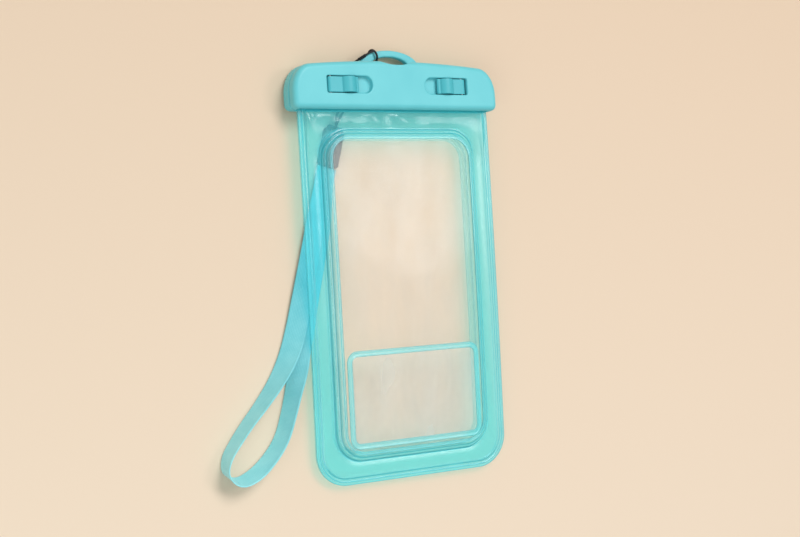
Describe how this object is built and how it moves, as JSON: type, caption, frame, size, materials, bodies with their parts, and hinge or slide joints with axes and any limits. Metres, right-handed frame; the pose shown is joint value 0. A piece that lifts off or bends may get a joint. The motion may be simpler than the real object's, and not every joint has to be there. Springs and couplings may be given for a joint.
{
  "type": "waterproof phone pouch",
  "caption": "Flat waterproof pouch for a phone: a film bag with clear windows and a touch panel, a hinged clamp with two locking levers, and a wrist lanyard.",
  "frame": {"origin": "middle of the pouch's length and width, on the surface it lies on, lanyard left out", "axes": "+X across the bag, to the right seen from the front; +Y from the bag's bottom to the clamp; +Z out of the front window"},
  "size_m": [0.155, 0.206, 0.0152],
  "materials": {
    "teal_plastic": "satin",
    "teal_film": "translucent gloss",
    "clear_film": "clear gloss",
    "seal_rubber": "translucent matte",
    "pin_steel": "ground",
    "black_plastic": "matte",
    "black_cord": "braided",
    "teal_webbing": "fine woven"
  },
  "bodies": {
    "pouch": {"rear_clamp_bar": "teal_plastic", "rear_inner_plate": "teal_plastic", "rear_seal": "seal_rubber", "rear_mouth_strip": "teal_film", "front_film": "teal_film", "front_window": "clear_film", "back_film": "teal_film", "back_window": "clear_film", "touch_panel_rim": "teal_film", "touch_panel": "clear_film", "cord_hitch": "black_cord", "lanyard_cord": "black_cord", "buckle_plug": "black_plastic", "buckle_socket": "black_plastic", "strap_ribbon": "teal_webbing"},
    "front_clamp": {"front_clamp_bar": "teal_plastic", "front_inner_plate": "teal_plastic", "front_seal": "seal_rubber", "front_mouth_strip": "teal_film", "lever_pin_left": "pin_steel", "lever_pin_right": "pin_steel"},
    "lever_left": {"lock_lever_left": "teal_plastic"},
    "lever_right": {"lock_lever_right": "teal_plastic"}
  },
  "joints": [
    {"name": "clamp_fold", "type": "hinge", "parent": "pouch", "child": "front_clamp", "pos_m": [0, 0.07235, 0.0102], "axis": [1, 0, 0], "range_deg": [0, 60]},
    {"name": "lever_left_pivot", "type": "hinge", "parent": "front_clamp", "child": "lever_left", "pos_m": [-0.0364, 0.0844, 0.01135], "axis": [0, -1, 0], "range_deg": [0, 95]},
    {"name": "lever_right_pivot", "type": "hinge", "parent": "front_clamp", "child": "lever_right", "pos_m": [0.0364, 0.0844, 0.01135], "axis": [0, 1, 0], "range_deg": [0, 95]}
  ]
}
